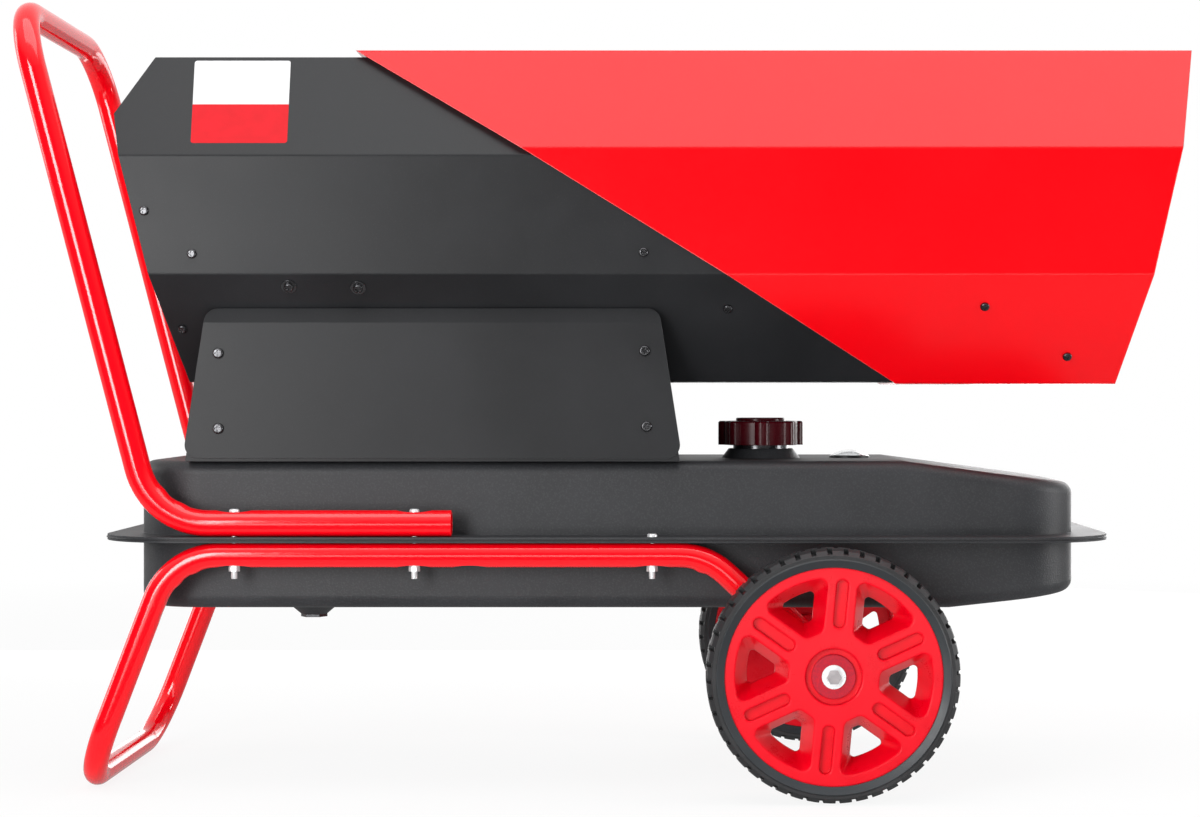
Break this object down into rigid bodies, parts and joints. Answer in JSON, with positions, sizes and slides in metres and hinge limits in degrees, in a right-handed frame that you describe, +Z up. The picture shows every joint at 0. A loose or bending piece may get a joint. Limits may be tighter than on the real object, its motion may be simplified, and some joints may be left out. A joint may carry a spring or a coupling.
{
  "type": "forced air heater",
  "caption": "Portable oil-fired forced air heater: faceted duct casing on a pedestal over a flanged fuel tank, on a tube frame with push handle and wheels.",
  "frame": {"origin": "on the floor, in the middle of the overall length and width", "axes": "+X to the hot air outlet, +Y to the control side, +Z up"},
  "size_m": [1.231, 0.51, 0.818],
  "materials": {
    "casing_red": "gloss enamel",
    "casing_black": "satin powder coat",
    "tank_black": "fine textured powder coat",
    "frame_red": "gloss powder coat",
    "zinc": "bright zinc plate",
    "black_screw": "black zinc plate",
    "rim_red": "moulded gloss",
    "tyre_rubber": "matt rubber",
    "cap_red": "moulded satin",
    "neck_grey": "turned",
    "clear": "clear dome",
    "black_plastic": "fine grain",
    "galvanised": "galvanised sheet",
    "heat_steel": "heat tinted stainless sheet",
    "motor_grey": "cast and finned",
    "hose_rubber": "smooth rubber",
    "ceramic": null,
    "brass": "turned",
    "board_green": "lacquered board",
    "needle_red": "painted",
    "white_plastic": "moulded"
  },
  "bodies": {
    "heater": {"lower_frame": "frame_red", "push_handle": "frame_red", "frame_bolts": "zinc", "axle": "zinc", "axle_spacers": "zinc", "wheel_washers": "zinc", "axle_bolts": "zinc", "tank_upper_shell": "tank_black", "tank_lower_shell": "tank_black", "drain_plug": "black_screw", "filler_neck": "neck_grey", "filler_strainer": "white_plastic", "gauge_body": "black_plastic", "gauge_lens": "clear", "rear_casing": "casing_black", "front_casing": "casing_red", "casing_screws": "black_screw", "washer_screws": "black_screw", "pedestal_base": "casing_black", "side_cover_right": "casing_black", "side_cover_left": "casing_black", "cover_screws": "black_screw", "control_panel": "black_plastic", "display_window": "black_plastic", "power_inlet": "black_plastic", "control_board": "board_green", "ignition_transformer": "black_plastic", "bulkhead": "galvanised", "heat_shield": "galvanised", "combustion_chamber": "heat_steel", "flame_diffuser": "heat_steel", "burner_head": "heat_steel", "nozzle": "brass", "electrodes": "ceramic", "photocell": "black_plastic", "motor_body": "motor_grey", "motor_mount": "galvanised", "pump_body": "motor_grey", "pump_end_cover": "motor_grey", "pressure_gauge": "black_plastic", "fan_guard": "casing_black", "fuel_pickup_hose": "hose_rubber", "fuel_filter": "white_plastic", "fuel_line": "hose_rubber", "air_hose": "hose_rubber"},
    "left_wheel": {"rim_left": "rim_red", "tyre_left": "tyre_rubber"},
    "right_wheel": {"rim_right": "rim_red", "tyre_right": "tyre_rubber"},
    "rotor": {"fan": "motor_grey", "motor_shaft": "zinc", "pump_rotor": "black_plastic"},
    "cap_seal": {"cap_gasket": "hose_rubber"},
    "cap": {"fuel_cap": "cap_red", "cap_insert": "cap_red"},
    "knob": {"thermostat_knob": "black_plastic"},
    "switch": {"power_switch": "black_plastic"},
    "float": {"float_arm": "brass"},
    "fuel_pointer": {"gauge_needle": "needle_red"},
    "pressure_pointer": {"pressure_needle": "needle_red"}
  },
  "joints": [
    {"name": "left_wheel_spin", "type": "hinge", "parent": "heater", "child": "left_wheel", "pos_m": [0.228, 0.225, 0.127], "axis": [0, 1, 0], "continuous": true},
    {"name": "right_wheel_spin", "type": "hinge", "parent": "heater", "child": "right_wheel", "pos_m": [0.228, -0.225, 0.127], "axis": [0, 1, 0], "continuous": true},
    {"name": "fan_spin", "type": "hinge", "parent": "heater", "child": "rotor", "pos_m": [-0.275, 0, 0.5925], "axis": [1, 0, 0], "continuous": true},
    {"name": "cap_rise", "type": "slide", "parent": "heater", "child": "cap_seal", "axis": [0, 0, 1], "range_m": [0, 0.0062]},
    {"name": "cap_turn", "type": "hinge", "parent": "cap_seal", "child": "cap", "pos_m": [0.165, 0, 0.37], "axis": [0, 0, 1], "range_deg": [0, 720]},
    {"name": "knob_turn", "type": "hinge", "parent": "heater", "child": "knob", "pos_m": [-0.262, 0.165, 0.412], "axis": [0, 1, 0], "range_deg": [0, 270]},
    {"name": "switch_rock", "type": "hinge", "parent": "heater", "child": "switch", "pos_m": [-0.205, 0.1532, 0.412], "axis": [1, 0, 0], "range_deg": [-14, 0]},
    {"name": "float_drop", "type": "hinge", "parent": "heater", "child": "float", "pos_m": [0.262, 0, 0.299], "axis": [0, 1, 0], "range_deg": [-34, 0]},
    {"name": "fuel_pointer_turn", "type": "hinge", "parent": "heater", "child": "fuel_pointer", "pos_m": [0.262, 0, 0.341], "axis": [0, 0, 1], "range_deg": [0, 110]},
    {"name": "pressure_pointer_turn", "type": "hinge", "parent": "heater", "child": "pressure_pointer", "pos_m": [-0.4545, 0, 0.6485], "axis": [-1, 0, 0], "range_deg": [0, 240]}
  ],
  "couplings": [
    {"joint": "cap_rise", "follows": "cap_turn", "m_per_rad": 0.00047746},
    {"joint": "fuel_pointer_turn", "follows": "float_drop", "ratio": -3}
  ]
}
